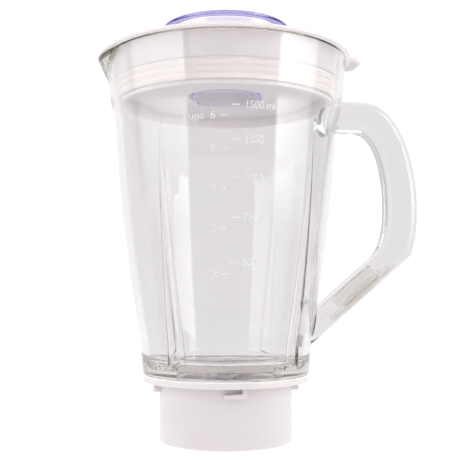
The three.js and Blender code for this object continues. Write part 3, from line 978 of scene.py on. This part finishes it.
def collar():
    corners = [
        (COLLAR_BORE_R, 0, 0.5),
        (COLLAR_R, 0, 0.7),
        (COLLAR_R, FLANGE_Z, 0.5),
        (FLANGE_R, FLANGE_Z, 0.9),
        (FLANGE_R, COLLAR_TOP, 1.2),
        (COLLAR_BORE_R, COLLAR_TOP, 0.4),
        (COLLAR_BORE_R, 21, 0.4),
        (27, 21, 0.5),
        (27, 18, 0.5),
        (COLLAR_BORE_R, 18, 0.6),
    ]
    body = turned("collar_moulding", corners, 240)
    plates, walls, ledges = bmesh.new(), bmesh.new(), bmesh.new()
    for k in range(4):
        a = k * 90
        sector(plates, COLLAR_R - 1, DRIVE_LUG_R, 30.3, lambda t: 32.4 + 0.8 * t,
               a - DRIVE_LUG_HALF, a + DRIVE_LUG_HALF)
        sector(walls, COLLAR_R - 1, DRIVE_LUG_R - 0.2, 32.6, FLANGE_Z + 1,
               a + 5, a + DRIVE_LUG_HALF - 0.2)
        sector(ledges, NECK_R + 0.6, COLLAR_BORE_R + 1, 33.8, 36.8,
               a - BAYONET_HALF, a + BAYONET_HALF)
    for bm in (plates, walls, ledges):
        boolean(body, new_object("collar_tool", bm), "UNION")
    smooth(body, 35)
    dress(body, "collar", DIMMED_WHITE, "white_plastic", "base_collar")
    # The collar's top, under the glass, gets the copy with the stronger painted glow.
    body.data.materials.append(PAINTED_GLOW_WHITE)
    for face in body.data.polygons:
        if face.normal.z > 0.9 and face.center.z / MM > COLLAR_TOP - 0.2:
            face.material_index = 1
    return body


# ---- carried-over CAD nodes --------------------------------------------------------------

FINISHES = {
    "blade_carrier": WHITE,
    "jar_gasket": PALE,
    "lower_bush": BRONZE,
    "upper_bush": BRONZE,
    "shaft_seal": BLACK,
    "blade_shaft": STEEL,
    "upper_thrust_washer": BRONZE,
    "lower_thrust_washer": BRONZE,
    "lower_blade": STEEL,
    "blade_spacer": STEEL,
    "upper_blade": STEEL,
    "lock_washer": STEEL,
    "blade_nut": STEEL,
    "retaining_clip": STEEL,
    "drive_coupling": BLACK,
    "coupling_insert": STEEL,
}
for node_name, finish in FINISHES.items():
    node = frame["nodes"][node_name]
    node.data.materials.clear()
    node.data.materials.append(finish)

glass_jar()
graduation()
lid()
lid_inner_plate()
lid_seal()
filler_cap()
collar()

# ---- stage, light and camera -------------------------------------------------------------

CAMERA_AZIMUTH = -7.2  # degrees from the object's front, positive towards its handle
BACKDROP_GLOW = 1.06
FLOOR_GLOW = 0.80
WORLD_GLOW = 0.70
TOP_GLOW = 0.7


def plane_mesh(name, size_x, size_y):
    bm = bmesh.new()
    corners = ((-1, -1), (1, -1), (1, 1), (-1, 1))
    bm.faces.new([bm.verts.new((x * size_x / 2, y * size_y / 2, 0)) for x, y in corners])
    mesh = bpy.data.meshes.new(name)
    bm.to_mesh(mesh)
    bm.free()
    plane = bpy.data.objects.new(name, mesh)
    bpy.context.scene.collection.objects.link(plane)
    return plane


def backdrop():
    """A wide white sheet behind the object, lit evenly."""
    sheet = plane_mesh("backdrop", 14, 9)
    sheet.location = (0, 3.2, 3.2)
    sheet.rotation_euler = (math.radians(90), 0, 0)
    material, tree, shader = node_material("backdrop")
    shader.inputs["Base Color"].default_value = (0, 0, 0, 1)
    shader.inputs["Specular IOR Level"].default_value = 0
    shader.inputs["Roughness"].default_value = 1
    shader.inputs["Emission Color"].default_value = WHITE_GLOW
    shader.inputs["Emission Strength"].default_value = BACKDROP_GLOW
    sheet.data.materials.append(material)


def floor():
    plane = plane_mesh("floor", 14, 14)
    plane.location = (0, 0, -0.0004)
    material, tree, shader = node_material("floor")
    tree.links.new(tinted(tree, noise(tree, 3, 3), (0.24, 0.24, 0.24), (0.27, 0.27, 0.27)),
                   shader.inputs["Base Color"])
    shader.inputs["Roughness"].default_value = 0.9
    shader.inputs["Specular IOR Level"].default_value = 0.1
    shader.inputs["Emission Color"].default_value = WHITE_GLOW
    shader.inputs["Emission Strength"].default_value = FLOOR_GLOW
    plane.data.materials.append(material)


def soft_box(name, azimuth, distance, height, size, glow, far_glow):
    """An upright light on the camera's side, brightest along its edge nearest the camera.

    azimuth is measured from the camera's direction, positive to the right of the picture.
    """
    a = math.radians(azimuth + CAMERA_AZIMUTH)
    middle = Vector((AXIS_X * MM, 0, height))
    place = middle + Vector((math.sin(a), -math.cos(a), 0)) * distance
    data = bpy.data.lights.new(name, "AREA")
    data.shape = "RECTANGLE"
    data.size, data.size_y = size
    data.energy = math.pi * size[0] * size[1]
    data.use_nodes = True
    tree = data.node_tree
    emission = tree.nodes["Emission"]
    across = tree.nodes.new("ShaderNodeNewGeometry")
    split = tree.nodes.new("ShaderNodeSeparateXYZ")
    ramp = tree.nodes.new("ShaderNodeMapRange")
    tree.links.new(across.outputs["Parametric"], split.inputs["Vector"])
    tree.links.new(split.outputs["X"], ramp.inputs["Value"])
    near, far = (glow, far_glow) if azimuth < 0 else (far_glow, glow)
    ramp.inputs["To Min"].default_value = far
    ramp.inputs["To Max"].default_value = near
    fade = tree.nodes.new("ShaderNodeMapRange")
    fade.interpolation_type = "SMOOTHSTEP"
    fade.inputs["From Max"].default_value = 0.32
    tree.links.new(split.outputs["Y"], fade.inputs["Value"])
    both = tree.nodes.new("ShaderNodeMath")
    both.operation = "MULTIPLY"
    tree.links.new(ramp.outputs["Result"], both.inputs[0])
    tree.links.new(fade.outputs["Result"], both.inputs[1])
    tree.links.new(both.outputs["Value"], emission.inputs["Strength"])
    light = bpy.data.objects.new(name, data)
    light.location = place
    light.rotation_mode = "QUATERNION"
    light.rotation_quaternion = (middle - place).to_track_quat("-Z", "Y")
    bpy.context.scene.collection.objects.link(light)


def top_light():
    data = bpy.data.lights.new("top_light", "AREA")
    data.shape = "RECTANGLE"
    data.size, data.size_y = 1.6, 1.2
    data.energy = math.pi * data.size * data.size_y * TOP_GLOW
    light = bpy.data.objects.new("top_light", data)
    light.location = (0, 0.2, 1.5)
    bpy.context.scene.collection.objects.link(light)


def world():
    scene_world = bpy.data.worlds.new("studio")
    scene_world.use_nodes = True
    background = scene_world.node_tree.nodes["Background"]
    background.inputs["Color"].default_value = (0.97, 0.98, 1, 1)
    background.inputs["Strength"].default_value = WORLD_GLOW
    bpy.context.scene.world = scene_world


def camera():
    distance, height, pitch = 0.518, 0.0941, 4.05
    data = bpy.data.cameras.new("camera")
    data.lens = 63.8
    data.sensor_width = 36
    data.clip_start, data.clip_end = 0.01, 50
    cam = bpy.data.objects.new("camera", data)
    a, e = math.radians(CAMERA_AZIMUTH), math.radians(pitch)
    axis = Vector((AXIS_X * MM, 0, 0))
    cam.location = axis + Vector((math.sin(a), -math.cos(a), 0)) * distance + Vector((0, 0, height))
    yaw = math.radians(0.283)
    look = Vector((-math.sin(a - yaw) * math.cos(e), math.cos(a - yaw) * math.cos(e), math.sin(e)))
    cam.rotation_mode = "QUATERNION"
    cam.rotation_quaternion = look.to_track_quat("-Z", "Y")
    bpy.context.scene.collection.objects.link(cam)
    bpy.context.scene.camera = cam


floor()
backdrop()
world()
soft_box("soft_box_right", 70, 0.85, 0.42, (0.62, 0.9), 4.6, 1.4)
soft_box("soft_box_left", -66, 0.85, 0.42, (0.92, 0.9), 2.9, 1.0)
top_light()
camera()
bpy.context.scene.view_settings.view_transform = "Standard"
paths = bpy.context.scene.cycles  # light turns many times inside thick glass
paths.max_bounces = 32
paths.transmission_bounces = 32
paths.glossy_bounces = 32
